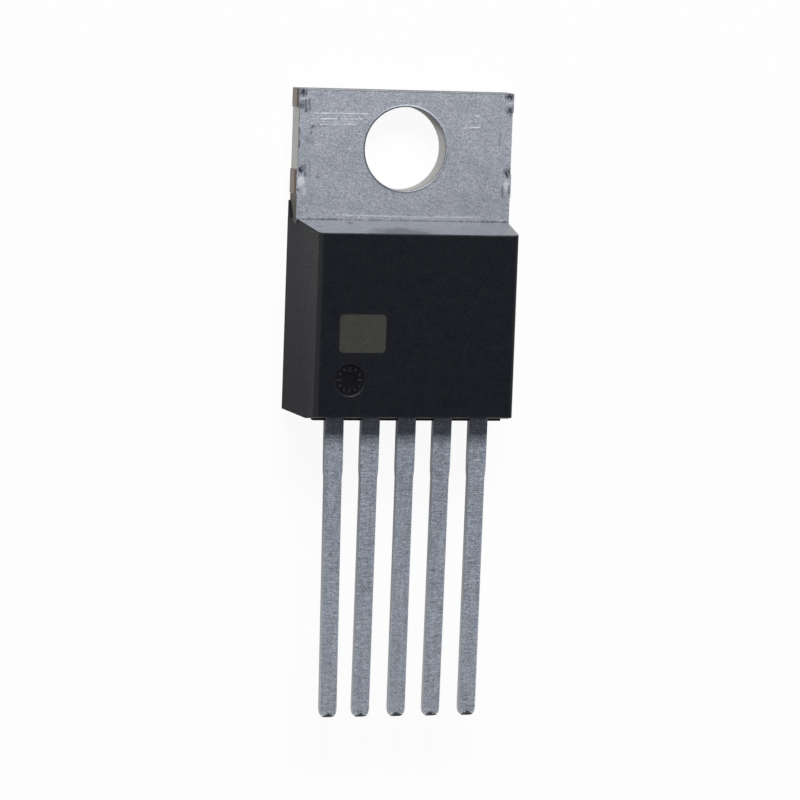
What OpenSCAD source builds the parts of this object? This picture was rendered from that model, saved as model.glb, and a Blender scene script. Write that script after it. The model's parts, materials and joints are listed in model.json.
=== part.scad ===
// Five-lead voltage regulator in a flat tab package, lying on the back of its tab. Millimetres.
// The origin is where the axis of the mounting hole meets the back face.
// +X runs to the right seen from the front, +Y from the leads to the tab, +Z out of the front.
// Values whose names end in _y, and distances called "from the hole", run from the hole's axis
// towards the leads, along -Y.

/* [Heatsink tab] */
// Width of the tab across its tie-bar stubs
tab_w = 10.16; // [9.9:0.02:10.3]
// Thickness of the tab and of the paddle inside the body
tab_t = 1.32; // [1.14:0.02:1.4]
// Hole axis to the top edge of the tab
tab_head = 2.65; // [2.5:0.01:2.9]
// Diameter of the mounting hole
hole_d = 3.84; // [3.7:0.01:3.96]
// From the hole to the shoulder where the tab narrows into the body
shoulder_y = 3.47; // [3.35:0.01:3.6]
// How far the tie-bar stubs stand proud of the punched sides
stub_d = 0.04; // [0.02:0.01:0.08]
// Length of the stub at each top corner
upper_stub_l = 0.88; // [0.6:0.02:1.2]
// Length of each lower stub
lower_stub_l = 1.1; // [0.8:0.02:1.4]
// From the hole to the middle of the lower stub
lower_stub_y = 1.6; // [1.4:0.05:1.8]
// How much narrower the paddle inside the body is than the tab, on each side
paddle_inset = 0.88; // [0.7:0.02:1.1]
// Plastic between the paddle's end and the body's bottom
paddle_cover = 2.16; // [2.1:0.02:2.3]
// Width of the step along the back of the paddle's edges, which the body grips
lock_w = 0.3; // [0.2:0.05:0.4]
// Height of that step
lock_h = 0.5; // [0.3:0.05:0.7]
// Shoulder to the sealing groove across the front of the paddle
groove_start = 0.93; // [0.7:0.05:1.2]
// Width of the sealing groove
groove_w = 0.4; // [0.2:0.05:0.5]
// Depth of the sealing groove
groove_d = 0.15; // [0.1:0.05:0.25]

/* [Moulded body] */
// Thickness of the whole part, back face to front face
body_t = 4.45; // [4.35:0.01:4.6]
// How far the body's back edges stand out past the tab's sides
side_cover = 0.04; // [0.02:0.01:0.1]
// How far each side leans in from the back face to the front face
side_lean = 0.47; // [0.3:0.01:0.6]
// How far the body laps over the tab's front, above the shoulder
top_lap = 0.2; // [0.1:0.01:0.3]
// How far the sloped top leans back between the tab and the front face
top_lean = 0.38; // [0.2:0.01:0.5]
// Length of the body from its top, on the tab, to its bottom at the lead plane
body_l = 8.89; // [8.6:0.01:9.2]
// How far the bottom leans in from the lead plane to the front face
foot_lean = 0.2; // [0.1:0.01:0.3]
// How far it leans in from the lead plane to the back face
heel_lean = 0.04; // [0.02:0.01:0.1]
// How far the flash at the back corners climbs the sides of the tab
flash_l = 0.82; // [0.3:0.02:1]
// Radius of the long front edges
side_r = 0.3; // [0.1:0.05:0.4]
// Radius of the short front edges
brow_r = 0.1; // [0.05:0.01:0.2]
// Side edge of the front face to the end of the lip that the leads come out of
lip_inset = 0.22; // [0.1:0.01:0.4]
// Height of the lip
lip_h = 0.1; // [0.05:0.01:0.2]

/* [Mould mark] */
// Diameter of the round recess in the front face
mark_d = 1.46; // [1.2:0.02:1.8]
// Depth of the recess
mark_depth = 0.09; // [0.05:0.01:0.15]
// Width of the sloped wall of the recess
mark_bevel = 0.06; // [0.02:0.01:0.1]
// Diameter of the deeper middle of the recess
mark_core_d = 0.66; // [0.4:0.02:0.8]
// Extra depth of the middle
mark_core_depth = 0.05; // [0.02:0.01:0.1]
// Left edge of the front face to the middle of the recess
mark_from_side = 1.59; // [1.3:0.01:2]
// Bottom edge of the front face to the middle of the recess
mark_from_foot = 1.67; // [1.4:0.01:2]

/* [Leads] */
// Distance between neighbouring leads
lead_pitch = 1.7; // [1.65:0.01:1.75]
// Width of a lead
lead_w = 0.81; // [0.7:0.01:0.9]
// Thickness of a lead
lead_t = 0.4; // [0.34:0.01:0.5]
// Back face of the tab to the back of the leads
lead_back = 2.84; // [2.7:0.02:2.9]
// Length of the leads outside the body
lead_l = 13.84; // [12.7:0.02:14.7]
// What the cut dam bars leave on each side of a lead
dam_stub = 0.02; // [0.01:0.01:0.04]
// Body to the end of those remains
dam_l = 2.54; // [2:0.02:3]
// Length over which the lead then narrows to its own width
dam_taper = 0.2; // [0.1:0.05:0.4]
// Radius of the corners at the tips
tip_r = 0.24; // [0.1:0.02:0.34]
// How far handling has bent the tip of each lead to the right, from the first lead to the last
tip_drift = [0.17, 0, 0, -0.06, -0.04]; // [-0.2:0.01:0.2]
// Width of the bond posts, the wide inner ends of the outer leads
post_w = 1.4; // [1.2:0.05:1.45]
// Length of the posts
post_l = 1.3; // [1.2:0.05:1.5]
// Plastic between the posts and the body's bottom
post_cover = 0.96; // [0.8:0.02:1.1]

/* [Centre lead] */
// Width of the centre lead where it rises from the paddle
riser_w = 1.1; // [0.9:0.05:1.2]
// Angle at which it rises
riser_angle = 70; // [65:1:75]
// Inner radius of its two bends
riser_r = 0.25; // [0.2:0.01:0.3]
// Straight length between the paddle and the first bend
riser_start = 0.1; // [0.05:0.05:0.15]

/* [Die and bond wires] */
// Width of the die
die_w = 3; // [2.6:0.1:3.4]
// Length of the die
die_l = 2.8; // [2.4:0.1:3]
// Thickness of the die
die_t = 0.3; // [0.2:0.02:0.36]
// End of the paddle to the near edge of the die
die_start = 1.8; // [1.7:0.01:2]
// Thickness of the solder under the die
solder_t = 0.06; // [0.04:0.01:0.1]
// How far the solder runs out round the die
solder_rim = 0.1; // [0.05:0.01:0.15]
// Diameter of the bond wires
wire_d = 0.2; // [0.15:0.01:0.25]
// Spacing of the wires on the die
wire_pitch = 0.55; // [0.5:0.01:0.6]
// Length of a wire's flattened foot
foot_l = 0.44; // [0.4:0.02:0.5]
// Width of a foot
foot_w = 0.26; // [0.25:0.01:0.3]
// Thickness of a foot
foot_t = 0.12; // [0.1:0.01:0.14]
// Middle of a foot to the edge of the die or post that it sits on
foot_inset = 0.4; // [0.35:0.01:0.45]
// End of the paddle to the middle of the centre wire's foot
ground_inset = 0.8; // [0.6:0.05:0.9]
// Angle that a wire turns through between its feet
loop_angle = 100; // [80:2:120]

/* [Hidden] */
$fn = 48;
// How far cutting shapes run past what they cut
past = 1;
// Steps along each bend of the centre lead
bend_steps = 8;
// The middle one of the five leads
centre = 3;

body_back_w = tab_w + 2 * side_cover;
body_front_w = body_back_w - 2 * side_lean;
// Where the body's top meets the tab, and the top edge of its front face
top_y = shoulder_y - top_lap;
brow_y = top_y + top_lean;
// The body's bottom at the lead plane, at the front face and at the back face
chin_y = top_y + body_l;
foot_y = chin_y - foot_lean;
heel_y = chin_y - heel_lean;
lip_w = body_front_w - 2 * lip_inset;
mark_x = body_front_w / 2 - mark_from_side;
mark_y = foot_y - mark_from_foot;

paddle_w = tab_w - 2 * paddle_inset;
paddle_end = chin_y - paddle_cover;
groove_y = shoulder_y + groove_start;
lead_front = lead_back + lead_t;
neck_w = lead_w + 2 * dam_stub;
neck_y = chin_y - post_cover;
post_y = neck_y - post_l;
dam_end = chin_y + dam_l;
tip_y = chin_y + lead_l;
die_y = paddle_end - die_start - die_l / 2;
die_top = tab_t + solder_t + die_t;

tin = [0.6, 0.62, 0.64];
epoxy = [0.11, 0.11, 0.12];
silicon = [0.33, 0.34, 0.38];
solder = [0.72, 0.72, 0.74];
aluminium = [0.84, 0.85, 0.86];

function unit(v) = v / norm(v);
function polar(r, a) = r * [cos(a), sin(a)];
// Points on an arc about c, from angle a0 to a1
function arc(c, r, a0, a1) = [for (i = [0:bend_steps]) c + polar(r, a0 + (a1 - a0) * i / bend_steps)];
// A closed outline from its right half, listed from top to bottom
function mirrored(half) = concat(half, [for (i = [len(half) - 1:-1:0]) [-half[i].x, half[i].y]]);
function lead_x(n) = (n - centre) * lead_pitch;

// What has to go from corner p, between its neighbours a and b, to round it to radius r
module corner_waste(p, a, b, r) {
    ua = unit(a - p);
    ub = unit(b - p);
    half = acos(ua * ub) / 2;
    middle = p + unit(ua + ub) * r / sin(half);
    difference() {
        polygon([p - r * unit(ua + ub), p + ua * r / tan(half), middle, p + ub * r / tan(half)]);
        translate(middle) circle(r);
    }
}

// Turns a drawing in Y and Z into a solid that runs along X, width w, centred
module along_x(w) {
    rotate([90, 0, 90]) linear_extrude(w, center = true) children();
}

// Lead n seen from the front: its inner end, the neck that the dam bars joined, and the rounded tip.
// Outside the body it leans sideways, by its drift at the tip
module lead_outline(n, inner_w, inner_y, inner_end) {
    half = [
        [inner_w / 2, -inner_y],
        [inner_w / 2, -inner_end],
        [neck_w / 2, -inner_end],
        [neck_w / 2, -chin_y],
        [neck_w / 2, -dam_end],
        [lead_w / 2, -dam_end - dam_taper],
        [lead_w / 2, -tip_y]
    ];
    bent = [for (p = mirrored(half)) [p.x + tip_drift[n - 1] * max(0, -p.y - chin_y) / lead_l, p.y]];
    // The two corners of the tip lie in the middle of the list
    right = len(half) - 1;
    left = right + 1;
    difference() {
        polygon(bent);
        corner_waste(bent[right], bent[right - 1], bent[left], tip_r);
        corner_waste(bent[left], bent[left + 1], bent[right], tip_r);
    }
}

// The tab seen from the front, its sides punched back between the tie-bar stubs
module tab_outline() {
    side_x = tab_w / 2 - stub_d;
    recess_ends = [
        [tab_head - upper_stub_l, -lower_stub_y + lower_stub_l / 2],
        [-lower_stub_y - lower_stub_l / 2, -shoulder_y - past]
    ];
    difference() {
        translate([-tab_w / 2, -shoulder_y]) square([tab_w, tab_head + shoulder_y]);
        circle(d = hole_d);
        for (side = [0, 1], ends = recess_ends)
            mirror([side, 0]) translate([side_x, ends[1]]) square([past, ends[0] - ends[1]]);
    }
}

// The paddle inside the body: narrower at its back, so that the body holds it, and grooved across its front
module paddle() {
    paddle_l = paddle_end - shoulder_y;
    difference() {
        translate([-paddle_w / 2, -paddle_end, 0]) cube([paddle_w, paddle_l, tab_t]);
        for (side = [0, 1]) mirror([side, 0, 0])
            translate([paddle_w / 2 - lock_w, -paddle_end - past, -past])
                cube([lock_w + past, paddle_l + past, lock_h + past]);
        translate([-paddle_w / 2 - past, -paddle_end - past, -past])
            cube([paddle_w + 2 * past, lock_w + past, lock_h + past]);
        translate([-paddle_w / 2 - past, -groove_y - groove_w, tab_t - groove_d])
            cube([paddle_w + 2 * past, groove_w, groove_d + past]);
    }
}

// Side view of the centre lead: along the paddle, up at an angle, then along the lead plane
module riser_profile() {
    inner = riser_r;
    outer = riser_r + lead_t;
    a = riser_angle;
    low = tab_t - lead_t;
    // The bends' centres. The straight between them makes up the height that the bends leave
    c1 = [-paddle_end - riser_start, tab_t + inner];
    rise = lead_front - outer - c1.y + (inner + outer) * cos(a);
    c2 = c1 + [-(inner + outer) * sin(a) - rise / tan(a), lead_front - outer - c1.y];
    polygon(concat(
        [[-paddle_end + past / 2, low]],
        arc(c1, outer, 270, 270 - a),
        arc(c2, inner, 90 - a, 90),
        [[-tip_y, lead_back], [-tip_y, lead_front]],
        arc(c2, outer, 90, 90 - a),
        arc(c1, inner, 270 - a, 270),
        [[-paddle_end + past / 2, tab_t]]
    ));
}

module heatsink_tab() {
    color(tin) union() {
        linear_extrude(tab_t) tab_outline();
        paddle();
        intersection() {
            along_x(riser_w + past) riser_profile();
            linear_extrude(body_t) lead_outline(centre, riser_w, paddle_end - past / 2, neck_y);
        }
    }
}

module lead(n) {
    color(tin) translate([lead_x(n), 0, lead_back]) linear_extrude(lead_t)
        lead_outline(n, post_w, post_y, neck_y);
}

// Seen from the side: sloped top, flat front, and a bottom that leans out to the lead plane
module body_side() {
    brow = [-brow_y, body_t];
    foot = [-foot_y, body_t];
    top = [-top_y, tab_t];
    chin = [-chin_y, lead_front];
    difference() {
        polygon([[-top_y, 0], top, brow, foot, chin, [-heel_y, 0]]);
        corner_waste(brow, top, foot, brow_r);
        corner_waste(foot, brow, chin, brow_r);
    }
}

// Seen along its length: sides that lean in towards the front, with rounded front edges
module body_section() {
    front = [body_front_w / 2, body_t];
    back = [body_back_w / 2, 0];
    difference() {
        polygon(mirrored([front, back]));
        for (side = [0, 1]) mirror([side, 0]) corner_waste(front, back, [0, body_t], side_r);
    }
}

// The round recess that the mould leaves in the front face
module mould_mark() {
    floor_z = body_t - mark_depth;
    translate([-mark_x, -mark_y, floor_z])
        cylinder(h = mark_depth, d1 = mark_d - 2 * mark_bevel, d2 = mark_d);
    translate([-mark_x, -mark_y, floor_z - mark_core_depth])
        cylinder(h = mark_depth + mark_core_depth + past, d = mark_core_d);
}

module body_blank() {
    difference() {
        union() {
            intersection() {
                along_x(body_back_w + past) body_side();
                rotate([90, 0, 0]) linear_extrude(chin_y + past) body_section();
            }
            translate([-lip_w / 2, -chin_y - lip_h, lead_back]) cube([lip_w, past, lead_t]);
        }
        // The tab goes under the body here. The sloped end of the cut leaves the flash beside it
        along_x(body_back_w + 2 * past) polygon([
            [0, -past],
            [0, tab_t],
            [-shoulder_y, tab_t],
            [-shoulder_y + flash_l, 0],
            [-shoulder_y + flash_l, -past]
        ]);
        mould_mark();
    }
}

// The body is moulded round everything that it holds
module moulded_body() {
    color(epoxy) difference() {
        body_blank();
        heatsink_tab();
        for (n = [1, 2, 4, 5]) lead(n);
        die_solder();
        die();
        for (n = [1:5]) bond_wire(n);
    }
}

module die_solder() {
    color(solder) translate([0, -die_y, tab_t + solder_t / 2])
        cube([die_w + 2 * solder_rim, die_l + 2 * solder_rim, solder_t], center = true);
}

module die() {
    color(silicon) translate([0, -die_y, tab_t + solder_t + die_t / 2])
        cube([die_w, die_l, die_t], center = true);
}

// A round wire bent in one arc from the foot at a to the foot at b
module wire_loop(a, b) {
    span = norm([b.x - a.x, b.y - a.y]);
    h = b.z - a.z;
    slope = atan2(h, span);
    radius = norm([span, h]) / (2 * sin(loop_angle / 2));
    // The arc's middle lies square to the chord, on its lower side
    middle = [span, h] / 2 + polar(radius * cos(loop_angle / 2), slope - 90);
    translate(a) rotate([0, 0, atan2(b.y - a.y, b.x - a.x)]) {
        for (foot = [[0, 0], [span, h]])
            translate([foot.x - foot_l / 2, -foot_w / 2, foot.y]) cube([foot_l, foot_w, foot_t]);
        translate([middle.x, 0, middle.y + wire_d / 2]) rotate([90, -(90 + slope - loop_angle / 2), 0])
            rotate_extrude(angle = loop_angle) translate([radius, 0]) circle(d = wire_d);
    }
}

module bond_wire(n) {
    die_foot = [(n - centre) * wire_pitch, -die_y - die_l / 2 + foot_inset, die_top];
    post_foot = [lead_x(n), -post_y - foot_inset, lead_front];
    paddle_foot = [0, -paddle_end + ground_inset, tab_t];
    color(aluminium) wire_loop(die_foot, n == centre ? paddle_foot : post_foot);
}

heatsink_tab();
moulded_body();
lead(1);  // lead_1
lead(2);  // lead_2
lead(4);  // lead_4
lead(5);  // lead_5
die_solder();
die();
bond_wire(1);  // bond_wire_1
bond_wire(2);  // bond_wire_2
bond_wire(3);  // bond_wire_3
bond_wire(4);  // bond_wire_4
bond_wire(5);  // bond_wire_5
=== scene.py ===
import json
import math

import bmesh
import bpy
from mathutils import Matrix, Vector


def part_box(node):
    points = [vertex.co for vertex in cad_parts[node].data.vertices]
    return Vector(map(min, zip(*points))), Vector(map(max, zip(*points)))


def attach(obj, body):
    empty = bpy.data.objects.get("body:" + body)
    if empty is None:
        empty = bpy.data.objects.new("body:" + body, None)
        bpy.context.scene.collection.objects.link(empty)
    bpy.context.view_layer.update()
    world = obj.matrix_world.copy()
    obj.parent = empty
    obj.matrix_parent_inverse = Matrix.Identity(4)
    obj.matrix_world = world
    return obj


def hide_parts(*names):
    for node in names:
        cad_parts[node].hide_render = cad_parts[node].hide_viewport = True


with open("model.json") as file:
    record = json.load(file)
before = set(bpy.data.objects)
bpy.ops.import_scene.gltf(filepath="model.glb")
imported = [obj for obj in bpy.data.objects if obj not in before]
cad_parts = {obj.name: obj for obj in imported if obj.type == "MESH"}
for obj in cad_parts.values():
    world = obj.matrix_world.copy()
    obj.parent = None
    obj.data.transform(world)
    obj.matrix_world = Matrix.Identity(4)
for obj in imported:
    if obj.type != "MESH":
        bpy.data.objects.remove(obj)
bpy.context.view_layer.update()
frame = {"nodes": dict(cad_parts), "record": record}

# Millimetres, in which the part is measured, to the metres of the scene
MM = 0.001

# The part's own sizes, read from the frame, in millimetres
tab_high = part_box("heatsink_tab")[1] / MM
body_low, body_high = (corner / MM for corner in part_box("moulded_body"))
lead_low, lead_high = (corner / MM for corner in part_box("lead_5"))
mounts = {mount["name"]: mount for mount in frame["record"]["mounts"]}
HOLE_R = mounts["tab_hole"]["dims"]["r_mm"]
TAB_T = mounts["tab_hole"]["dims"]["length_mm"]
TAB_TOP = tab_high.y
BODY_FRONT = body_high.z
BODY_FOOT = body_low.y
LEAD_BACK = lead_low.z
LEAD_FRONT = lead_high.z
TIP_Y = lead_low.y

# Where the body starts on the tab, and the cuts of the tie bars on the tab's sides, along y
SHOULDER = -3.28
UPPER_CUT = 1.78
LOWER_CUT = (-2.15, -1.03)

# Radii of the body's round front edges, and their axes: x and z for the sides, y and z for the
# top and the bottom
BODY_SIDE_R = 0.3
BODY_BROW_R = 0.1
SIDE_AXIS = (4.38, BODY_FRONT - BODY_SIDE_R)
BROW_AXIS = (-3.739, BODY_FRONT - BODY_BROW_R)
CHIN_AXIS = (-11.875, BODY_FRONT - BODY_BROW_R)

# Leads, from the left, with the middle of each tip
LEAD_NODES = {"lead_1": -3.23, "lead_2": -1.7, "lead_4": 1.64, "lead_5": 3.36}


class Field:
    """A value, colour or vector on its way through a finish. Arithmetic works on values."""

    def __init__(self, finish, socket):
        self.finish = finish
        self.socket = socket

    def maths(self, operation, *terms, clamp=False):
        settings = {"operation": operation, "use_clamp": clamp}
        return self.finish.node("Math", settings, dict(enumerate(terms)))

    def __add__(self, other):
        return self.maths("ADD", self, other)

    __radd__ = __add__

    def __sub__(self, other):
        return self.maths("SUBTRACT", self, other)

    def __rsub__(self, other):
        return self.maths("SUBTRACT", other, self)

    def __mul__(self, other):
        return self.maths("MULTIPLY", self, other)

    __rmul__ = __mul__

    def __truediv__(self, other):
        return self.maths("DIVIDE", self, other)

    def __pow__(self, other):
        return self.maths("POWER", self, other)

    def __abs__(self):
        return self.maths("ABSOLUTE", self)

    def __gt__(self, other):
        return self.maths("GREATER_THAN", self, other)

    def held(self):
        """The same value, held between 0 and 1."""
        return self.maths("ADD", self, 0, clamp=True)

    def over(self, other):
        """The larger of two values."""
        return self.maths("MAXIMUM", self, other)

    def rise(self, low, high):
        """0 below low and 1 above high, or the other way round, with a smooth change between."""
        inputs = {"Value": self, "From Min": low, "From Max": high}
        return self.finish.node("MapRange", {"interpolation_type": "SMOOTHSTEP"}, inputs)


class Finish:
    """The node tree of one material, with the place on the part in millimetres as x, y and z."""

    def __init__(self, name):
        self.material = bpy.data.materials.new(name)
        self.material.use_nodes = True
        self.tree = self.material.node_tree
        self.tree.nodes.clear()
        metres = self.node("TexCoord", output="Object")
        self.place = self.node("VectorMath", {"operation": "SCALE"}, {0: metres, "Scale": 1 / MM})
        self.x, self.y, self.z = self.parts_of(self.place)

    def node(self, kind, settings=None, inputs=None, output=0):
        """Adds a node: first its settings, then the values or links of its sockets."""
        made = self.tree.nodes.new("ShaderNode" + kind)
        for name, value in (settings or {}).items():
            setattr(made, name, value)
        for name, value in (inputs or {}).items():
            if isinstance(value, Field):
                self.tree.links.new(value.socket, made.inputs[name])
            else:
                made.inputs[name].default_value = value
        return Field(self, made.outputs[output]) if made.outputs else None

    def parts_of(self, vector):
        return [self.node("SeparateXYZ", inputs={0: vector}, output=axis) for axis in "XYZ"]

    def facing(self):
        """The direction that the surface faces, as three values."""
        return self.parts_of(self.node("NewGeometry", output="True Normal"))

    def mix(self, first, second, share):
        """From the first colour to the second, as share goes from 0 to 1."""
        ends = [end if isinstance(end, Field) else (*end, 1) for end in (first, second)]
        return self.node("Mix", {"data_type": "RGBA"}, {0: share, 6: ends[0], 7: ends[1]}, output=2)

    def speckle(self, size, stretch=(1, 1, 1), detail=2, seed=0):
        """Noise about 0, mostly within half a unit each way. Size is that of its grains, in mm."""
        moved = self.node("VectorMath", {"operation": "MULTIPLY_ADD"},
                          {0: self.place, 1: [1 / s for s in stretch], 2: (seed, seed, seed)})
        inputs = {"Vector": moved, "Scale": 1 / size, "Detail": detail}
        return self.node("TexNoise", inputs=inputs) - 0.5

    def stroke(self, start, end, width, uneven=0):
        """A thin mark in the plane of x and y, 1 at its middle and 0 at its edges.

        Uneven moves the edges."""
        run = Vector(end) - Vector(start)
        dx = self.x - start[0]
        dy = self.y - start[1]
        along = ((dx * run.x + dy * run.y) / run.length_squared).held()
        off_x = dx - along * run.x
        off_y = dy - along * run.y
        return ((off_x * off_x + off_y * off_y) ** 0.5 + uneven).rise(width, 0)

    def spot(self, middle, size, uneven=0, up=None):
        """A soft oval mark in the plane of x and y, or of x and up. Uneven moves its edge."""
        dx = (self.x - middle[0]) / (size[0] / 2)
        dy = ((self.y if up is None else up) - middle[1]) / (size[1] / 2)
        return ((dx * dx + dy * dy) ** 0.5 + uneven).rise(1.15, 0.35)

    def relief(self, height, depth, under=None):
        """Raises the surface by height times depth, which is in millimetres."""
        inputs = {"Height": height, "Distance": depth * MM}
        if under:
            inputs["Normal"] = under
        return self.node("Bump", inputs=inputs)

    def close(self, colour, roughness, metallic, normal, **fixed):
        """Ends the finish in one Principled shader and gives the material."""
        inputs = {"Base Color": colour, "Roughness": roughness, "Metallic": metallic, "Normal": normal}
        inputs.update({name.replace("_", " "): value for name, value in fixed.items()})
        surface = self.node("BsdfPrincipled", inputs=inputs)
        self.node("OutputMaterial", inputs={"Surface": surface})
        return self.material


def seen(red, green, blue):
    """A colour as it is read off a screen, in sRGB from 0 to 255, as the light that it stands for."""
    return tuple((v / 255 / 12.92) if v < 10 else ((v / 255 + 0.055) / 1.055) ** 2.4
                 for v in (red, green, blue))


# Tin plate

TIN_LIGHT = (0.77, 0.79, 0.87)
TIN_DARK = (0.42, 0.445, 0.52)
TIN_BLUE = (0.46, 0.54, 0.62)
# The brightest plate, for worn marks and for the painted highlights at the lead tips
TIN_WORN_AND_GLINT = (0.99, 0.99, 1)
COPPER_PALE = seen(147, 134, 124)
COPPER_DULL = seen(120, 113, 108)
COPPER_DARK = seen(84, 66, 58)
PUNCHED_PALE = seen(184, 185, 182)
PUNCHED_DARK = seen(155, 155, 152)
BELOW_PALE = seen(87, 82, 76)
BELOW_DARK = seen(58, 53, 47)
HOLE_SHADE = seen(84, 85, 82)
TOP_EDGE = seen(93, 92, 90)
SHEARED = seen(104, 104, 102)
SCUFF = seen(66, 70, 84)
# Painted shade on the rim of the hole
PAINTED_RIM_SHADE = seen(70, 72, 76)
CORNER = seen(64, 58, 58)
# The way across the hole to the upper right, towards the light, where its rim was pulled up most and
# the painted shade on the rim is weakest
TO_UPPER_RIGHT = (0.64, 0.77)

# Marks on the tab's front, in mm from the hole's axis. Scratches have two ends, a width and a strength.
BRIGHT_SCRATCHES = [
    ((-4.75, 1.55), (-4.0, 1.56), 0.045, 0.45),
    ((-4.0, 1.56), (-3.25, 1.57), 0.05, 1),
    ((-3.2, 1.57), (-1.85, 1.58), 0.05, 0.8),
    ((-4.45, 1.29), (-4.05, 1.3), 0.045, 0.45),
    ((-4.05, 1.3), (-3.3, 1.32), 0.05, 1),
    ((-3.1, 1.32), (-2.15, 1.33), 0.05, 0.7),
    ((-4.05, 1.05), (-2.36, 1.09), 0.05, 0.7),
    ((-4.45, 1.43), (-2.4, 1.45), 0.035, 0.4),
    ((-4.4, 1.16), (-2.5, 1.19), 0.035, 0.4),
    ((-3.35, 0.95), (-3.32, 1.7), 0.05, 0.5),
    ((2.66, 1.04), (3.5, 1.08), 0.045, 0.9),
    ((3.27, 1.61), (3.4, 1.6), 0.09, 0.6),
    ((2.9, 1.33), (3.6, 1.36), 0.035, 0.3),
    ((-3.15, -3.05), (0.1, -3.09), 0.06, 0.55),
    ((-0.1, -3.1), (3.65, -3.06), 0.06, 0.45),
]
DARK_SCRATCHES = [
    ((-4.76, 2.14), (-4.73, 1.62), 0.1, 0.9),
    ((-4.61, 2.14), (-4.57, 1.68), 0.09, 0.8),
    ((-4.71, -0.75), (-4.7, -1.29), 0.09, 0.8),
    ((-4.5, -0.7), (-4.48, -1.28), 0.12, 0.35),
    ((-4.47, 0.87), (-4.38, 0.95), 0.12, 1),
    ((4.47, 0.82), (4.45, 0.05), 0.07, 0.5),
    ((4.68, -1.65), (4.68, -2.11), 0.1, 0.7),
    ((4.99, -1.6), (4.98, -1.95), 0.06, 0.8),
    ((-5.05, 0), (-5.05, 0.85), 0.1, 1.1),
    ((-5.06, -0.8), (-5.06, 1.8), 0.05, 0.6),
    ((-4.75, -3.27), (-3.1, -3.28), 0.07, 0.9),
    ((-3.2, -3.28), (3.9, -3.26), 0.05, 0.55),
    ((3.8, -3.25), (5.05, -3.27), 0.07, 0.8),
]
# Smudges have a middle, a width and height, and a strength
DARK_SMUDGES = [
    ((-4.94, 2.51), (0.6, 0.52), 1.2),
    ((-4.96, 1.91), (0.45, 0.5), 1.1),
    ((4.87, 2.5), (0.55, 0.5), 1.2),
    ((4.9, 1.87), (0.5, 0.55), 1.2),
    ((-4.9, -1.03), (0.45, 0.5), 1.2),
    ((-4.99, -1.94), (0.2, 0.24), 1),
    ((4.9, -1.0), (0.5, 0.62), 1.3),
    ((-4.47, 0.65), (0.18, 0.18), 0.8),
    ((-4.57, 0.34), (0.62, 0.5), 0.5),
    ((-4.1, -1.36), (0.22, 0.2), 0.7),
    ((-4.88, -2.97), (0.34, 0.16), 0.7),
    ((4.8, -3.05), (0.5, 0.16), 0.5),
]
PALE_SMUDGES = [
    ((-4.87, -1.55), (0.4, 0.62), 1),
    ((-4.73, -2.0), (0.26, 0.5), 0.5),
    ((4.85, -1.57), (0.36, 0.6), 0.9),
    ((4.86, 2.2), (0.4, 0.2), 0.4),
    ((-4.86, 2.2), (0.4, 0.16), 0.4),
]


def largest_of(masks):
    """The largest of several values at each place."""
    largest = masks[0]
    for mask in masks[1:]:
        largest = largest.over(mask)
    return largest


def tab_grain(f):
    """The grain of the tab's plate: its tone, about 0.5, and its height."""
    sand = f.speckle(0.07, detail=3)
    grit = f.speckle(0.16, detail=2, seed=7)
    cloud = f.speckle(0.9, detail=3, seed=3)
    return 0.5 + 2.4 * sand + 0.9 * grit + 0.6 * cloud, sand + 0.7 * grit


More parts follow.
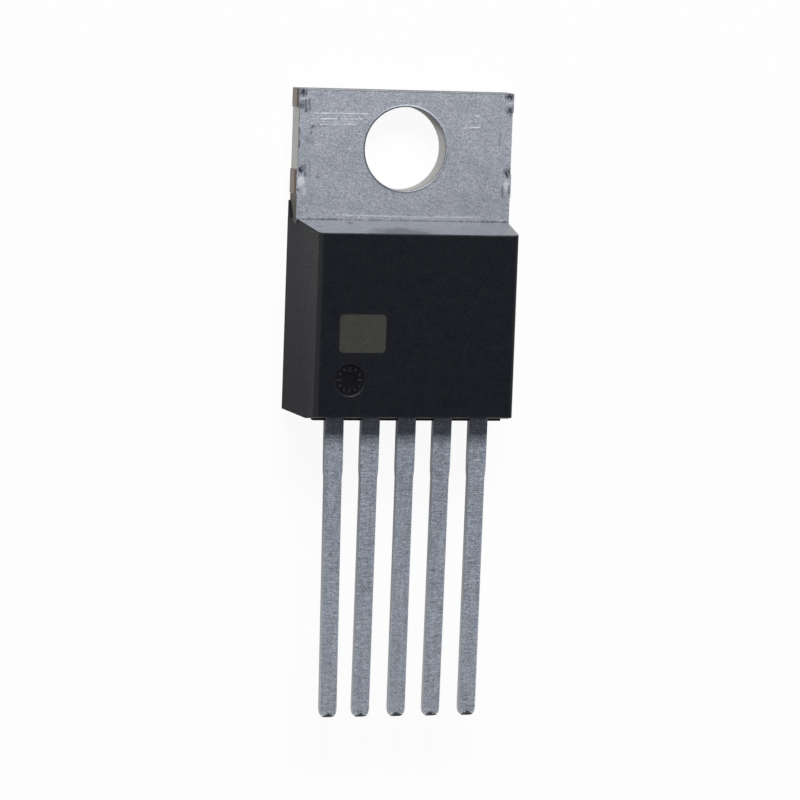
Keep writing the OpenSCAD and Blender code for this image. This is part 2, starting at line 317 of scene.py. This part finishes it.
def tab_finish():
    f = Finish("tin_plated_tab")
    _, face_y, face_z = f.facing()
    front = face_z.rise(0.5, 0.9)
    back = (0 - face_z).rise(0.5, 0.9)
    top = face_y.rise(0.6, 0.85) * f.y.rise(TAB_TOP - 0.3, TAB_TOP - 0.1)
    side = abs(face_z).rise(0.8, 0.5) * (1 - top)

    grain, height = tab_grain(f)
    rolled = f.speckle(0.09, stretch=(14, 1, 1), seed=11)
    tint = f.speckle(0.45, detail=2, seed=21).rise(-0.12, 0.2)
    colour = f.mix(TIN_DARK, TIN_LIGHT, (grain + 0.35 * rolled).held())
    colour = f.mix(colour, TIN_BLUE, 0.4 * tint)

    # Handling marks, strongest where the press held the tab
    broken = f.speckle(0.22, stretch=(3, 1, 1), seed=5).rise(-0.26, 0.06)
    bright = largest_of([s * f.stroke(start, end, width) for start, end, width, s in BRIGHT_SCRATCHES])
    blot = f.speckle(0.17, stretch=(0.7, 1.6, 1), detail=3, seed=4)
    patchy = 0.3 + 0.7 * f.speckle(0.1, stretch=(0.8, 2, 1), detail=2, seed=8).rise(-0.22, 0.12)
    blotted = 1.3 * blot
    smudged = largest_of([s * f.spot(middle, size, blotted) for middle, size, s in DARK_SMUDGES])
    ragged = 0.16 * blot
    scratched = largest_of([s * f.stroke(start, end, width, ragged)
                            for start, end, width, s in DARK_SCRATCHES])
    dark = (smudged * patchy).over(scratched)
    pale = largest_of([s * f.spot(middle, size, blot) for middle, size, s in PALE_SMUDGES])
    back_marks = f.speckle(0.1, stretch=(1, 9, 1), detail=3, seed=41).rise(0.14, 0.3) * back
    worn = (0.85 * bright * broken * front + 0.5 * pale * front + 0.3 * back_marks).held()
    scuffed = (0.85 * dark * front).held()
    colour = f.mix(colour, TIN_WORN_AND_GLINT, worn)
    colour = f.mix(colour, SCUFF, scuffed)

    # Painted shade round the rim of the hole, strongest on its left and weakest at its upper right,
    # towards the light, and a darker front edge of the top
    from_axis = (f.x * f.x + f.y * f.y) ** 0.5
    to_light = (TO_UPPER_RIGHT[0] * f.x + TO_UPPER_RIGHT[1] * f.y) / HOLE_R
    rim_band = from_axis.rise(HOLE_R + 0.1, HOLE_R + 0.05)
    # The rim's painted shade, less where the rim faces the light
    rim = rim_band * (0.8 - 0.2 * f.x - 0.55 * to_light.rise(0.3, 0.85)).held()
    crest = f.y.rise(TAB_TOP - 0.08, TAB_TOP - 0.03) * front
    colour = f.mix(colour, SHEARED, (0.55 * crest).held())
    colour = f.mix(colour, PAINTED_RIM_SHADE, 0.8 * rim)
    corner = f.y.rise(SHOULDER + 0.08, SHOULDER - 0.06) * abs(f.x).rise(4.88, 4.97)
    colour = f.mix(colour, CORNER, 0.85 * corner)

    # The punched sides: bare copper where the tie bars were cut, dull and streaked below them
    streak = f.speckle(0.06, stretch=(1, 12, 1), seed=31)
    upper_stub = f.y.rise(UPPER_CUT - 0.02, UPPER_CUT + 0.02)
    lower_stub = (f.y.rise(LOWER_CUT[0] - 0.03, LOWER_CUT[0] + 0.03)
                  * f.y.rise(LOWER_CUT[1] + 0.03, LOWER_CUT[1] - 0.03))
    outside = abs(f.x).rise(4.8, 4.9)
    stub = side * outside * (upper_stub + lower_stub).held()
    torn = (f.z + 0.3 * streak).rise(0.78, 0.94)
    copper = f.mix(COPPER_PALE, COPPER_DULL, (0.5 + 1.6 * streak).held())
    copper = f.mix(copper, COPPER_DARK, torn)
    punched = f.mix(PUNCHED_PALE, PUNCHED_DARK, (0.45 + 1.4 * streak).held())
    below = f.y.rise(LOWER_CUT[0] + 0.05, LOWER_CUT[0] - 0.05) * outside
    dull = f.mix(BELOW_PALE, BELOW_DARK, (0.5 + 1.6 * streak).held())
    punched = f.mix(punched, dull, below)
    punched = f.mix(punched, SHEARED, 0.7 * f.z.rise(TAB_T - 0.2, TAB_T - 0.05))
    # Painted shade on the upper part of the hole's wall
    punched = f.mix(punched, HOLE_SHADE, 0.85 * f.y.rise(0.5, 1.3) * (1 - outside))
    colour = f.mix(colour, punched, side)
    colour = f.mix(colour, copper, stub)
    colour = f.mix(colour, TOP_EDGE, 0.9 * top)

    lead = f.y.rise(BODY_FOOT + 1, BODY_FOOT)
    on_lead = lead_colour(f, lead_grain(f, 0)[0], side, 0, streak)
    colour = f.mix(colour, on_lead, lead)

    rough = 0.52 + 0.1 * height + 0.12 * scuffed + 0.12 * worn + 0.08 * side
    sunk = f.relief(height - 0.2 * worn, 0.004)
    return f.close(colour, rough, 1 - 0.35 * stub, f.relief(streak * (side + top), 0.006, sunk))


# Leads

LEAD_LIGHT = (0.73, 0.785, 0.895)
LEAD_DARK = (0.33, 0.365, 0.44)
LEAD_FLECK = (0.85, 0.87, 0.92)
LEAD_SIDE_DARK = seen(102, 105, 107)
LEAD_SIDE_LIGHT = seen(166, 168, 169)
# Painted shadow on a lead's sides where the body shades them
LEAD_SIDE_SHADE = seen(58, 60, 62)
TIP_SHEAR = seen(40, 43, 46)
# How far each side of a lead's middle a highlight is painted beside its torn end
GLINTS = (-0.26, 0.23)


def tear_edge(off):
    """How far the torn end of a lead reaches up from its tip, so far from its middle, in mm."""
    return 0.22 - 0.5 * abs(off)


def lead_grain(f, seed):
    """Fine lines across a lead from rolling, broad streaks along it, and a little sand.

    Gives their tone, about 0, and their height."""
    sand = f.speckle(0.07, detail=3)
    fine = f.speckle(0.035, stretch=(12, 1, 1), detail=1, seed=61 + seed)
    ribs = f.speckle(0.11, stretch=(5, 1, 1), detail=2, seed=65 + seed)
    along = f.speckle(0.2, stretch=(1, 12, 1), detail=2, seed=71 + seed)
    return 2.5 * sand + 0.9 * fine + 0.7 * ribs + 0.9 * along, sand + fine + 0.5 * ribs


def lead_colour(f, grain, side, middle, streak):
    """Plate on a lead: lighter towards the tip, where the shear tore it, with painted shadow where the
    body shades its root and painted highlights beside the torn end.
    """
    to_tip = f.y.rise(BODY_FOOT + 2, TIP_Y)
    # Painted shadow of the body over the lead's root, on its front and its sides
    in_shade = f.y.rise(BODY_FOOT - 1.25, BODY_FOOT - 0.75)
    tone = 0.36 + 0.85 * grain + 0.31 * to_tip - 0.2 * in_shade
    colour = f.mix(LEAD_DARK, LEAD_LIGHT, tone.held())
    flecks = f.speckle(0.09, stretch=(2.5, 1, 1), detail=1, seed=81 + middle).rise(0.15, 0.24)
    # Painted highlights beside the torn end
    glints = largest_of([f.spot((middle + off, TIP_Y + 0.15), (0.17, 0.15)) for off in GLINTS])
    colour = f.mix(colour, LEAD_FLECK, 0.7 * flecks)
    colour = f.mix(colour, TIN_WORN_AND_GLINT, glints)
    edge = f.mix(LEAD_SIDE_DARK, LEAD_SIDE_LIGHT, (to_tip + 0.8 * streak - 2 * in_shade).held())
    edge = f.mix(edge, LEAD_SIDE_SHADE, 0.8 * in_shade)
    colour = f.mix(colour, edge, side)
    ragged = 0.25 * f.speckle(0.08, seed=middle + 2)
    torn = (f.y - TIP_Y - tear_edge(f.x - middle) - ragged).rise(0.03, -0.03)
    return f.mix(colour, TIP_SHEAR, 0.95 * torn)


def lead_finish(name, middle):
    f = Finish(name)
    face_x, _, _ = f.facing()
    streak = f.speckle(0.07, stretch=(1, 16, 1), seed=31)
    side = abs(face_x).rise(0.5, 0.85)
    grain, height = lead_grain(f, middle)
    colour = lead_colour(f, grain, side, middle, streak)
    return f.close(colour, 0.52 + 0.1 * height, 1.0, f.relief(height + 0.4 * streak, 0.004))


# Moulding compound

EPOXY = (0.0051, 0.006, 0.0094)
EPOXY_PALE = (0.03, 0.031, 0.037)
EPOXY_DIAL_DARK = (0.003, 0.0033, 0.0045)
ETCHED = seen(69, 68, 60)
TICK_PALE = (0.055, 0.056, 0.06)
LIP_PALE = seen(92, 84, 76)
# The patch that a laser has roughened on the front
PATCH_MIDDLE = (-2.53, -8.17)
PATCH_SIZE = (2.2, 1.78)
PATCH_CORNER = 0.22
# The round mark that the mould leaves on the front
DIAL_MIDDLE = (-3.06, -10.29)
DIAL_R = 0.73
TICK_TOP = 4.396
# Marks on the end above the tab: a dull patch and two nicks, with a middle and a size in x and z
DULL_PATCH = ((-0.8, 4.2), (3.2, 2.6))
END_NICKS = [((-4.36, 2.95), (0.34, 0.3)), ((-2.71, 2.1), (0.36, 0.8))]
# The front of the lip that the leads leave through is below this
LIP_TOP = -11.99


def epoxy_finish():
    f = Finish("black_epoxy")
    face_x, face_y, face_z = f.facing()
    front = face_z.rise(0.9, 0.98)
    side = abs(face_x).rise(0.6, 0.95)
    top = face_y.rise(0.6, 0.9)

    pores = f.speckle(0.06, detail=3, seed=1)
    skin = f.speckle(0.5, detail=3, seed=2)
    shade = (0.28 + 2.6 * pores + 0.8 * skin).held()
    colour = f.mix(EPOXY, EPOXY_PALE, 0.38 * shade)
    dial_x = f.x - DIAL_MIDDLE[0]
    dial_y = f.y - DIAL_MIDDLE[1]
    dial = ((dial_x * dial_x + dial_y * dial_y) ** 0.5).rise(DIAL_R, DIAL_R - 0.05) * front
    raised = f.z.rise(TICK_TOP - 0.014, TICK_TOP - 0.008)
    # Darker over the floor of the round mark, below the tops of its bars
    colour = f.mix(colour, EPOXY_DIAL_DARK, 0.8 * dial * (1 - raised))
    colour = f.mix(colour, TICK_PALE, 0.85 * dial * raised)

    over_x = (abs(f.x - PATCH_MIDDLE[0]) - (PATCH_SIZE[0] / 2 - PATCH_CORNER)).over(0)
    over_y = (abs(f.y - PATCH_MIDDLE[1]) - (PATCH_SIZE[1] / 2 - PATCH_CORNER)).over(0)
    burr = 0.05 * f.speckle(0.05, seed=9)
    etched = ((over_x * over_x + over_y * over_y) ** 0.5 + burr).rise(PATCH_CORNER, PATCH_CORNER - 0.05)
    etched = etched * front
    worn = (0.62 + 0.9 * pores + 0.4 * f.speckle(0.3, seed=4)).held()
    colour = f.mix(colour, ETCHED, etched * worn)
    lip = f.y.rise(LIP_TOP + 0.01, LIP_TOP - 0.01) * f.z.rise(LEAD_FRONT + 0.06, LEAD_FRONT + 0.03)
    colour = f.mix(colour, LIP_PALE, 0.8 * lip * front)

    # The end above the tab has a film from the mould
    uneven = f.speckle(0.3, stretch=(2, 1, 1), detail=3, seed=14)
    on_end = face_y.rise(0.95, 0.98) * abs(f.x).rise(5.06, 5.0) * (f.z > TAB_T)
    dull = f.spot(*DULL_PATCH, 0.9 * uneven, up=f.z)
    nicks = largest_of([f.spot(middle, size, up=f.z) for middle, size in END_NICKS])
    cover = 0.485 + 0.016 * f.x + 0.36 * uneven - 0.6 * dull - 0.6 * nicks
    film = (on_end * cover).held()

    flash = f.y.rise(SHOULDER - 0.04, SHOULDER + 0.04)
    down = f.y.rise(-4, BODY_FOOT)
    chin = f.y.rise(CHIN_AXIS[0] + 0.01, CHIN_AXIS[0] - 0.03)
    rough = 0.42 + 0.35 * pores + 0.3 * etched - 0.1 * top + side * (0.25 + 0.1 * down + 0.4 * pores)
    rough = rough + 0.3 * flash + 0.15 * chin * (1 - side)
    height = pores + 0.5 * f.speckle(0.15, seed=6)
    return f.close(colour, rough, 0.0, f.relief(height, 0.004), Specular_IOR_Level=0.22,
                   Coat_Weight=film, Coat_Roughness=0.3)


# Inside the body

def solder_finish():
    f = Finish("die_solder")
    ripple = f.speckle(0.2, detail=3)
    colour = f.mix((0.5, 0.5, 0.52), (0.74, 0.74, 0.75), (0.5 + 1.2 * ripple).held())
    return f.close(colour, 0.4 + 0.3 * ripple, 1.0, f.relief(ripple, 0.01))


def silicon_finish():
    """A die with its pads and circuit blocks as faint squares."""
    f = Finish("silicon_die")
    blocks = f.node("TexVoronoi", {"distance": "CHEBYCHEV"}, {"Vector": f.place, "Scale": 2.6})
    lines = blocks.rise(0.1, 0.45)
    colour = f.mix((0.1, 0.11, 0.15), (0.3, 0.3, 0.36), lines)
    return f.close(colour, 0.22 + 0.15 * lines, 0.6, f.relief(lines, 0.001))


def wire_finish():
    f = Finish("aluminium_wire")
    drawn = f.speckle(0.03, stretch=(1, 8, 1))
    colour = f.mix((0.7, 0.71, 0.72), (0.88, 0.88, 0.89), (0.5 + drawn).held())
    return f.close(colour, 0.28 + 0.2 * drawn, 1.0, f.relief(drawn, 0.002))


# Pieces

# Edges that turn by less than this many degrees aren't rounded
EDGE_TURN = 40
# Faces that meet at more than this many degrees are shaded apart
SHARP_TURN = 50
# Points nearer than this, in mm, become one point, and faces that turn by less than this, in
# degrees, become one face
SAME_POINT = 0.0005
SAME_PLANE = 0.4


def edges_like(bm, wanted):
    """The edges that turn by enough to be rounded and whose two ends are both wanted."""
    found = []
    for edge in bm.edges:
        if len(edge.link_faces) != 2 or math.degrees(edge.calc_face_angle(0)) < EDGE_TURN:
            continue
        if all(wanted(end.co / MM) for end in edge.verts):
            found.append(edge)
    return found


def soften(bm, edges, width, steps):
    bmesh.ops.bevel(bm, geom=edges, offset=width * MM, offset_type="OFFSET", segments=steps,
                    profile=0.5, affect="EDGES", clamp_overlap=True)


def join_rings(bm, rings):
    """Faces between each ring of points and the next."""
    for inner, outer in zip(rings, rings[1:]):
        for side in range(len(inner)):
            after = (side + 1) % len(inner)
            bm.faces.new((inner[side], outer[side], outer[after], inner[after]))


# How the shading turns over the round front edges, as a power of the angle. On the left, more than 1
# brings the tone of the side further over the edge. On the right, less than 1 brings the tone of the
# front, and so does more than 1 at the top and the bottom.
LEFT_TURN = 2.2
RIGHT_TURN = 0.7
BROW_TURN = 2.2
# A place this near to a round, in mm, is on it
ON_ROUND = 0.004
# Cosines of the angle between two directions that are on one round, or on one smooth surface
ONE_ROUND = 0.93
ONE_SURFACE = 0.64


def turned(angle, power):
    """An angle of up to a quarter turn, made smaller by a power above 1 and larger by one below 1."""
    quarter = math.pi / 2
    return quarter * (angle / quarter) ** power


def body_rounds(p):
    """For each round edge of the body that a place is on: which way it faces, and how it is shaded."""
    found = []
    side = Vector((abs(p.x) - SIDE_AXIS[0], 0, p.z - SIDE_AXIS[1]))
    if abs(side.length - BODY_SIDE_R) < ON_ROUND and min(side.x, side.z) > -ON_ROUND:
        angle = math.atan2(max(0, side.z), max(0, side.x))
        angles = (angle, turned(angle, LEFT_TURN if p.x < 0 else RIGHT_TURN))
        found.append([Vector((math.copysign(math.cos(a), p.x), 0, math.sin(a))) for a in angles])
    for axis, way in ((BROW_AXIS, 1), (CHIN_AXIS, -1)):
        brow = Vector((0, way * (p.y - axis[0]), p.z - axis[1]))
        if abs(brow.length - BODY_BROW_R) < ON_ROUND and min(brow.y, brow.z) > -ON_ROUND:
            angle = math.atan2(max(0, brow.y), max(0, brow.z))
            angles = (angle, turned(angle, BROW_TURN))
            found.append([Vector((0, way * math.sin(a), math.cos(a))) for a in angles])
    return found


def shade_rounds(mesh, rounds):
    """Shades each corner as the round that it lies on, and elsewhere by the smooth faces round it."""
    around = [[] for _ in mesh.vertices]
    for face in mesh.polygons:
        for vertex in face.vertices:
            around[vertex].append(face)
    shading = [None] * len(mesh.loops)
    for face in mesh.polygons:
        for corner in face.loop_indices:
            vertex = mesh.loops[corner].vertex_index
            place = mesh.vertices[vertex].co / MM
            exact = [(way.dot(face.normal), shade) for way, shade in rounds(place)]
            exact = [pair for pair in exact if pair[0] > ONE_ROUND]
            if exact:
                shading[corner] = max(exact, key=lambda pair: pair[0])[1]
            else:
                smooth = [other for other in around[vertex]
                          if other.normal.dot(face.normal) > ONE_SURFACE]
                total = sum((other.normal * other.area for other in smooth), Vector())
                shading[corner] = total.normalized()
    mesh.normals_split_custom_set(shading)


def new_piece(name, finish, bm):
    """A piece of the scene's own, on the one body that the part is."""
    mesh = bpy.data.meshes.new(name)
    bm.to_mesh(mesh)
    bm.free()
    mesh.shade_smooth()
    mesh.set_sharp_from_angle(angle=math.radians(SHARP_TURN))
    mesh.materials.append(finish)
    piece = bpy.data.objects.new(name, mesh)
    bpy.context.scene.collection.objects.link(piece)
    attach(piece, "root")
    return piece


def dressed(node, name, finish, roundings, tip=None, rounds=None):
    """The visible piece for one solid: its own faces, with the edges rounded as listed."""
    bm = bmesh.new()
    bm.from_mesh(frame["nodes"][node].data)
    bmesh.ops.remove_doubles(bm, verts=bm.verts, dist=SAME_POINT * MM)
    bmesh.ops.dissolve_limit(bm, angle_limit=math.radians(SAME_PLANE), verts=bm.verts, edges=bm.edges)
    for wanted, width, steps in roundings:
        soften(bm, edges_like(bm, wanted), width, steps)
    if tip is not None:
        tear_tip(bm, tip)
    piece = new_piece(name, finish, bm)
    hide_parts(node)
    if rounds:
        shade_rounds(piece.data, rounds)
    else:
        even = piece.modifiers.new("even_shading", "WEIGHTED_NORMAL")
        even.keep_sharp = True


# The torn end of a lead: how far up it is cut into facets and by how many cuts, how much of its
# thickness and width is gone at the tip, and half the width of what is cut and of what is moved
TEAR_REACH = 0.46
TEAR_CUTS = 8
TEAR_DEPTH = 0.4
TIP_NARROWING = 0.2
CUT_HALF_W = 0.42
MOVED_HALF_W = 0.6


def tear_tip(bm, middle):
    """Rounds the tip of a lead and thins it in its middle, where the shear tore its front down."""
    def cut(faces, point, normal):
        edges = {edge for face in faces for edge in face.edges}
        verts = {vert for face in faces for vert in face.verts}
        bmesh.ops.bisect_plane(bm, geom=[*verts, *edges, *faces], dist=1e-9,
                               plane_co=Vector(point) * MM, plane_no=normal)

    def tip_faces(holds):
        return [face for face in bm.faces
                if holds(v.co.y < (TIP_Y + TEAR_REACH + 0.001) * MM for v in face.verts)
                and abs(face.calc_center_median().x / MM - middle) < MOVED_HALF_W]

    cut(tip_faces(any), (0, TIP_Y + TEAR_REACH, 0), (0, 1, 0))
    for step in range(1, TEAR_CUTS):
        cut(tip_faces(all), (0, TIP_Y + TEAR_REACH * (step / TEAR_CUTS) ** 1.4, 0), (0, 1, 0))
    for step in range(1 - TEAR_CUTS, TEAR_CUTS):
        cut(tip_faces(all), (middle + CUT_HALF_W * step / TEAR_CUTS, 0, 0), (1, 0, 0))
    for vert in bm.verts:
        p = vert.co / MM
        above = p.y - TIP_Y
        if above < TEAR_REACH and abs(p.x - middle) < MOVED_HALF_W:
            depth = max(0, 1 - above / max(0.02, tear_edge(p.x - middle))) * TEAR_DEPTH
            narrow = TIP_NARROWING * (1 - above / TEAR_REACH) ** 1.6
            vert.co.x = (middle + (p.x - middle) * (1 - narrow)) * MM
            vert.co.z = (LEAD_BACK + (p.z - LEAD_BACK) * (1 - depth)) * MM


def on_hole_rim(p):
    return abs(math.hypot(p.x, p.y) - HOLE_R) < 0.02


def outside_body(p):
    return p.y < BODY_FOOT + 0.05


def on_tab(p):
    return p.y > SHOULDER - 0.12 and not on_hole_rim(p)


def on_dial_rim(p):
    out = math.hypot(p.x - DIAL_MIDDLE[0], p.y - DIAL_MIDDLE[1])
    return p.z > TICK_TOP - 0.1 and abs(out - DIAL_R) < 0.03


def anywhere(p):
    return True


# The bead round the hole: how far out and how far up its outline goes, and where it is highest
BURR_OUTLINE = [(0, -0.05), (0.006, -0.012), (0.025, 0.008), (0.05, 0.011),
                (0.08, 0.007), (0.11, 0), (0.15, -0.01)]
BURR_SIDES = 128
BURR_HIGHEST = math.radians(50)


def hole_burr(finish):
    """The low bead that the punch raised round the front of the hole, highest at its upper right."""
    bm = bmesh.new()
    rings = []
    for out, up in BURR_OUTLINE:
        ring = []
        for side in range(BURR_SIDES):
            a = 2 * math.pi * side / BURR_SIDES
            high = up * (0.1 + 0.9 * max(0, math.cos(a - BURR_HIGHEST))) if up > 0 else up
            reach = HOLE_R + out
            place = Vector((reach * math.cos(a), reach * math.sin(a), TAB_T + high))
            ring.append(bm.verts.new(place * MM))
        rings.append(ring)
    join_rings(bm, rings)
    bm.normal_update()
    new_piece("hole_burr", finish, bm)


# A wedge of mould flash: its outline in y and z, its inner and outer x, and the lean of its outside
FLASH_OUTLINE = [(SHOULDER, 0), (-2.5, 0), (-2.62, 0.12), (-2.9, 0.42), (-3.2, 0.74), (SHOULDER, 0.8)]
FLASH_INNER = 5.03
FLASH_OUTER = 5.115
FLASH_LEAN = 0.1


def mould_flash(finish):
    """The thin wedges of compound that ran up the back of the tab's sides, beside the body."""
    for name, way in (("mould_flash_left", -1), ("mould_flash_right", 1)):
        bm = bmesh.new()
        inner = []
        outer = []
        for y, z in FLASH_OUTLINE:
            inner.append(bm.verts.new(Vector((way * FLASH_INNER, y, z)) * MM))
        for y, z in FLASH_OUTLINE:
            reach = FLASH_OUTER - FLASH_LEAN * z
            outer.append(bm.verts.new(Vector((way * reach, y, z)) * MM))
        for first in range(len(FLASH_OUTLINE)):
            second = (first + 1) % len(FLASH_OUTLINE)
            bm.faces.new((inner[first], inner[second], outer[second], outer[first]))
        bm.faces.new(inner)
        bm.faces.new(outer)
        bmesh.ops.recalc_face_normals(bm, faces=bm.faces[:])
        soften(bm, bm.edges[:], 0.008, 2)
        new_piece(name, finish, bm)


# The bars in the mould's mark: how far out they reach, the length of every third one and of the
# rest, their widths at the foot and at the top, and their height
TICKS = 12
TICK_REACH = 0.6
TICK_LONG = 0.22
TICK_SHORT = 0.15
TICK_FOOT_W = 0.055
TICK_TOP_W = 0.035
TICK_HEIGHT = 0.04


def dial_ticks(finish):
    """Raised bars round the floor of the mould's mark, narrower at their tops."""
    bm = bmesh.new()
    for tick in range(TICKS):
        turn = 2 * math.pi * tick / TICKS
        length = TICK_LONG if tick % 3 == 0 else TICK_SHORT
        for vert in bmesh.ops.create_cube(bm, size=1)["verts"]:
            along = TICK_REACH - length * (0.5 - vert.co.x)
            across = (TICK_FOOT_W if vert.co.z < 0 else TICK_TOP_W) * vert.co.y
            vert.co = Vector((DIAL_MIDDLE[0] + along * math.cos(turn) - across * math.sin(turn),
                              DIAL_MIDDLE[1] + along * math.sin(turn) + across * math.cos(turn),
                              TICK_TOP if vert.co.z > 0 else TICK_TOP - TICK_HEIGHT)) * MM
    soften(bm, bm.edges[:], 0.01, 2)
    new_piece("mould_dial_ticks", finish, bm)


def make_pieces():
    lead_round = (outside_body, 0.07, 3)
    tin = tab_finish()
    dressed("heatsink_tab", "tin_plated_tab", tin,
            [(on_hole_rim, 0.06, 3), (on_tab, 0.018, 2), lead_round], tip=0)
    hole_burr(tin)
    for node, middle in LEAD_NODES.items():
        finish = lead_finish("tin_" + node, middle)
        dressed(node, "tin_" + node, finish, [lead_round], tip=middle)
    epoxy = epoxy_finish()
    dressed("moulded_body", "epoxy_body", epoxy,
            [(on_dial_rim, 0.035, 3), (anywhere, 0.02, 2)], rounds=body_rounds)
    dial_ticks(epoxy)
    mould_flash(epoxy)


def finish_inner_nodes():
    finishes = {"die_solder": solder_finish(), "die": silicon_finish()}
    wire = wire_finish()
    for node in frame["nodes"]:
        if node.startswith("bond_wire"):
            finishes[node] = wire
    for node, finish in finishes.items():
        mesh = frame["nodes"][node].data
        mesh.materials.clear()
        mesh.materials.append(finish)


# Floor, light and camera

def floor_finish():
    """A pale floor that reads as white, and keeps a faint share of its shading and shadow."""
    f = Finish("pale_floor")
    rays = [f.node("LightPath", output=kind)
            for kind in ("Is Camera Ray", "Is Glossy Ray", "Is Transmission Ray")]
    lit = f.node("BsdfDiffuse", inputs={"Color": (0.8, 0.8, 0.8, 1)})
    white = f.node("Emission", inputs={"Color": (1, 1, 1, 1), "Strength": 1})
    share = 0.94 * largest_of(rays)
    surface = f.node("MixShader", inputs={0: share, 1: lit, 2: white})
    f.node("OutputMaterial", inputs={"Surface": surface})
    return f.material


def pale_floor():
    """A round floor that curves up far away, so that no view sees past its edge."""
    flat, bend, bend_steps, wall, sides = 1.6, 0.6, 12, 0.8, 96
    profile = [(0.02, 0), (0.2, 0), (flat, 0)]
    for step in range(1, bend_steps + 1):
        a = math.pi / 2 * step / bend_steps
        profile.append((flat + bend * math.sin(a), bend - bend * math.cos(a)))
    profile.append((flat + bend, bend + wall))
    bm = bmesh.new()
    rings = []
    for radius, height in profile:
        turns = [2 * math.pi * side / sides for side in range(sides)]
        rings.append([bm.verts.new((radius * math.cos(a), radius * math.sin(a), height))
                      for a in turns])
    join_rings(bm, rings)
    bm.faces.new(rings[0])
    bm.normal_update()
    mesh = bpy.data.meshes.new("floor")
    bm.to_mesh(mesh)
    bm.free()
    mesh.shade_smooth()
    mesh.materials.append(floor_finish())
    floor = bpy.data.objects.new("floor", mesh)
    floor.location.z = -0.01 * MM
    bpy.context.scene.collection.objects.link(floor)


def soft_box(name, towards, distance, size, power, aim):
    """A rectangular lamp that faces the part from one direction."""
    lamp = bpy.data.lights.new(name, "AREA")
    lamp.shape = "RECTANGLE"
    lamp.size, lamp.size_y = size
    lamp.energy = power
    box = bpy.data.objects.new(name, lamp)
    direction = Vector(towards).normalized()
    box.location = aim + direction * distance
    box.rotation_euler = direction.to_track_quat("Z", "Y").to_euler()
    bpy.context.scene.collection.objects.link(box)


# The key light: its angle above the floor, what it faces, its distance, and its width and height,
# in metres, and its power in watts
KEY_HEIGHT = math.radians(44.5)
KEY_AIM = Vector((0, -0.008, 0.003))
KEY_DISTANCE = 0.6
KEY_SIZE = (0.36, 0.18)
KEY_POWER = 5.0
SKY_COLOUR = (0.95, 0.98, 1, 1)
SKY_STRENGTH = 0.065


def studio_light():
    """One soft box above the top of the part, and a weak even sky."""
    towards = (0, math.cos(KEY_HEIGHT), math.sin(KEY_HEIGHT))
    soft_box("key_soft_box", towards, KEY_DISTANCE, KEY_SIZE, KEY_POWER, KEY_AIM)
    world = bpy.data.worlds.new("studio")
    world.use_nodes = True
    sky = world.node_tree.nodes["Background"]
    sky.inputs["Color"].default_value = SKY_COLOUR
    sky.inputs["Strength"].default_value = SKY_STRENGTH
    bpy.context.scene.world = world


# The view: how the camera is turned, in degrees, what it looks at and how long its lens is
YAW, PITCH, ROLL = 15.139, 6.68, -2.053
AIM = Vector((0.1, -11.523, 1.518)) * MM
DISTANCE = 184.12 * MM
SENSOR = 36
FRAME_PIXELS = 800
FOCAL_PIXELS = 4003.5


def photo_camera():
    data = bpy.data.cameras.new("camera")
    data.sensor_width = SENSOR
    data.lens = SENSOR * FOCAL_PIXELS / FRAME_PIXELS
    data.clip_start = 0.01
    camera = bpy.data.objects.new("camera", data)
    turn = Matrix.Identity(3)
    for angle, axis in ((ROLL, "Z"), (PITCH, "X"), (YAW, "Y")):
        turn = turn @ Matrix.Rotation(math.radians(angle), 3, axis)
    place = turn.transposed().to_4x4()
    place.translation = AIM + turn.transposed() @ Vector((0, 0, DISTANCE))
    camera.matrix_world = place
    bpy.context.scene.collection.objects.link(camera)
    bpy.context.scene.camera = camera
    bpy.context.scene.view_settings.view_transform = "Standard"


photo_camera()
pale_floor()
studio_light()
make_pieces()
finish_inner_nodes()
